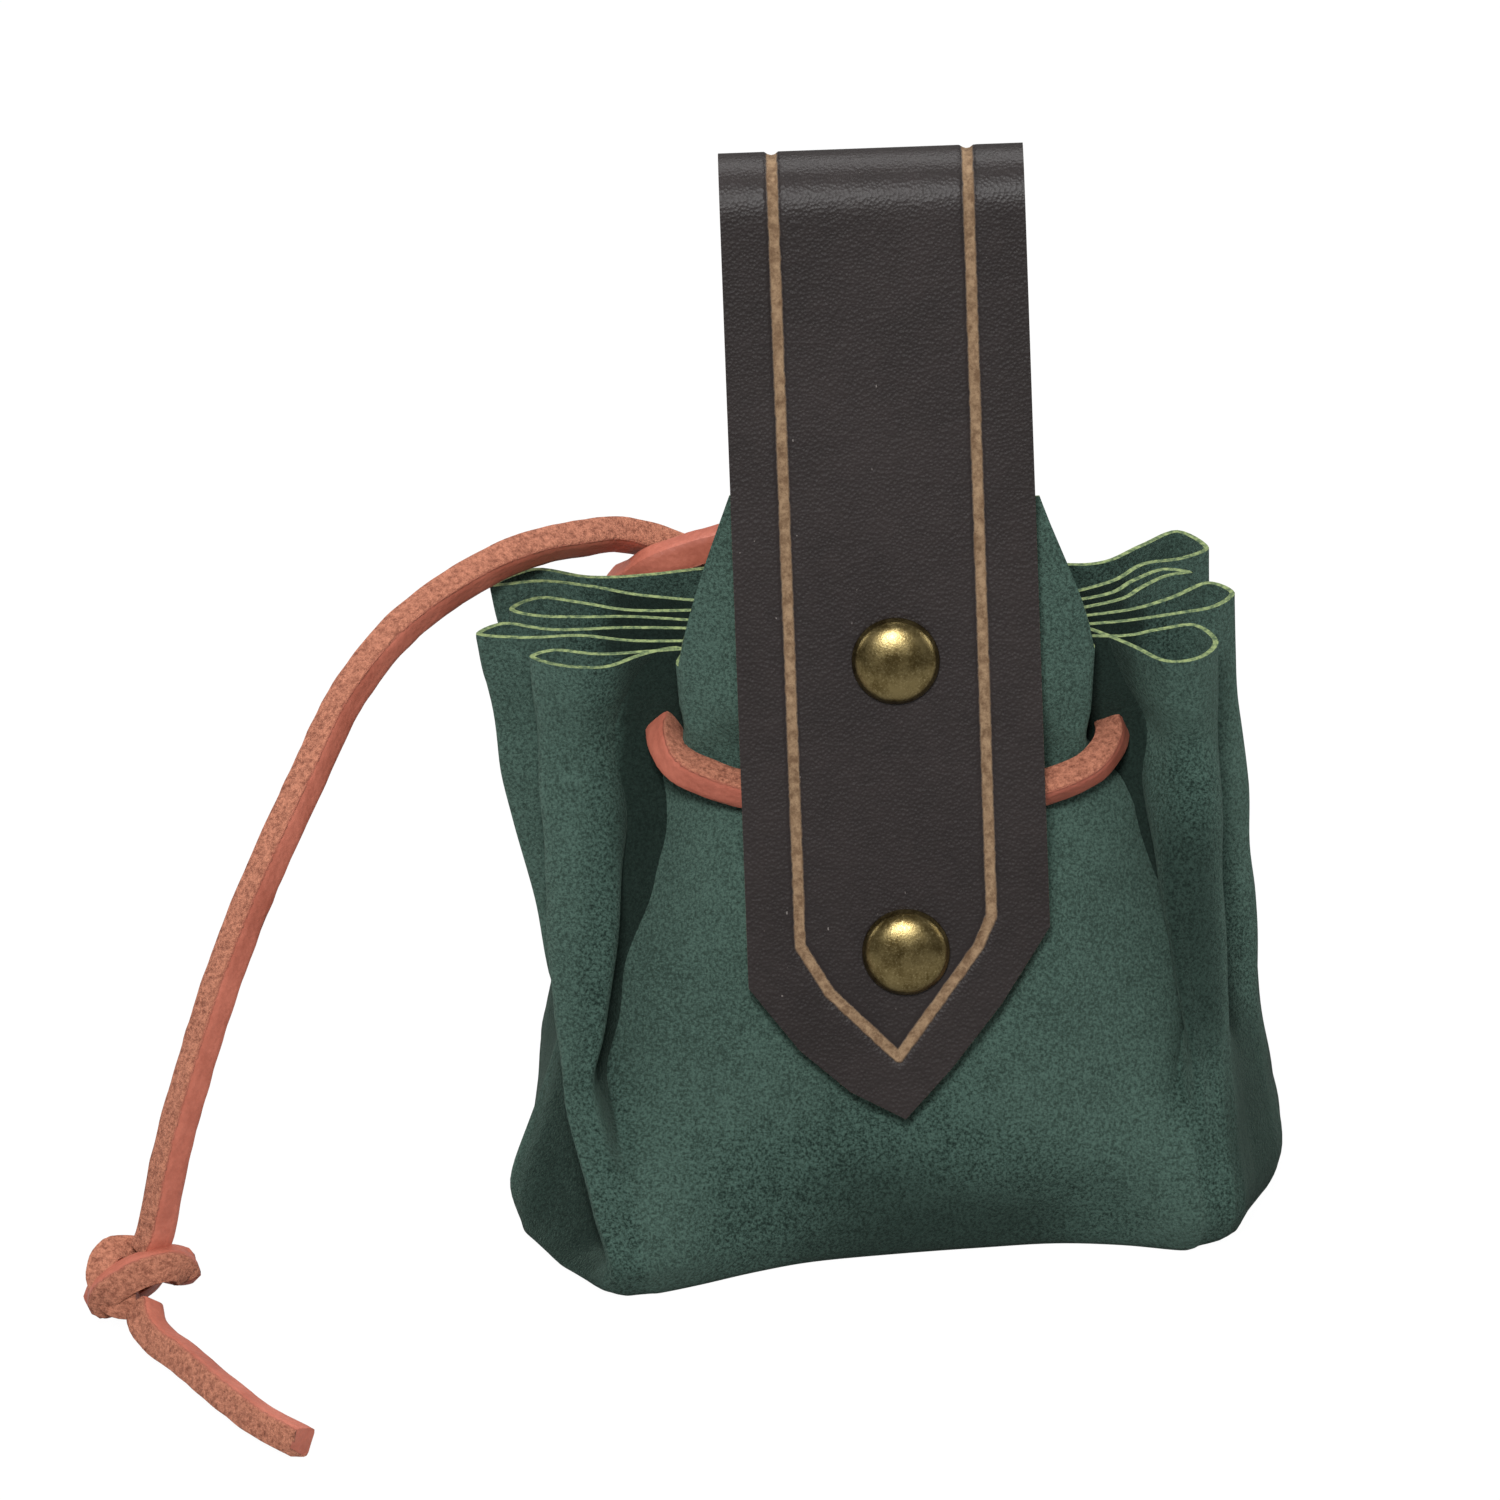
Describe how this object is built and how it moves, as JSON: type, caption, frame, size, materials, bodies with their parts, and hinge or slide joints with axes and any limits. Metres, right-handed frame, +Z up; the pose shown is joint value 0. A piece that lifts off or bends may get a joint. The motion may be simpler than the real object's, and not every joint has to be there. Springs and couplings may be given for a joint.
{
  "type": "drawstring dice bag",
  "caption": "Gathered suede pouch closed by a square leather drawstring lace, riveted to a leather strap that folds into a belt loop.",
  "frame": {"origin": "middle of the pouch's base, on the surface it stands on", "axes": "+Z up, the strap's pointed leg faces -Y, +X to the right seen from the front"},
  "size_m": [0.1378, 0.1435, 0.1251],
  "materials": {
    "suede": "dark green suede with a fine nap",
    "strap_leather": "dark brown smooth leather, satin, with tooled tan grooves",
    "lace_leather": "red-brown square lace, smooth grain side and fibrous flesh side",
    "antique_brass": "antique brass patina, satin"
  },
  "bodies": {
    "pouch": {"suede_body": "suede", "lace_left_run": "lace_leather", "lace_right_run": "lace_leather", "lace_back_run": "lace_leather", "lace_hidden_end": "lace_leather", "lace_hidden_knot": "lace_leather", "lace_hidden_tail": "lace_leather"},
    "front": {"suede_front": "suede", "strap_front_leg": "strap_leather", "strap_back_leg": "strap_leather", "rivet_lower_cap": "antique_brass", "rivet_lower_post": "antique_brass", "rivet_upper_cap": "antique_brass", "rivet_upper_post": "antique_brass", "lace_front_span": "lace_leather"},
    "belt_loop": {"strap_belt_loop": "strap_leather"},
    "lace_end": {"lace_free_end": "lace_leather", "lace_free_knot": "lace_leather", "lace_free_tail": "lace_leather"}
  },
  "joints": [
    {"name": "front_tilt", "type": "hinge", "parent": "pouch", "child": "front", "pos_m": [0, -0.0272, 0.0056], "axis": [-1, 0, 0], "range_deg": [-12, 6], "deforming": ["lace_front_span"]},
    {"name": "belt_loop_flex", "type": "hinge", "parent": "front", "child": "belt_loop", "pos_m": [0.0005, -0.0037, 0.0883], "axis": [-1, 0, 0], "range_deg": [-14, 9], "stiffness_Nm_per_rad": 0.05},
    {"name": "lace_pull", "type": "slide", "parent": "pouch", "child": "lace_end", "axis": [-0.8, -0.6, 0], "range_m": [-0.026, 0.016], "deforming": ["lace_free_end"]}
  ],
  "couplings": [
    {"joint": "lace_pull", "follows": "front_tilt", "m_per_rad": 0.116}
  ]
}
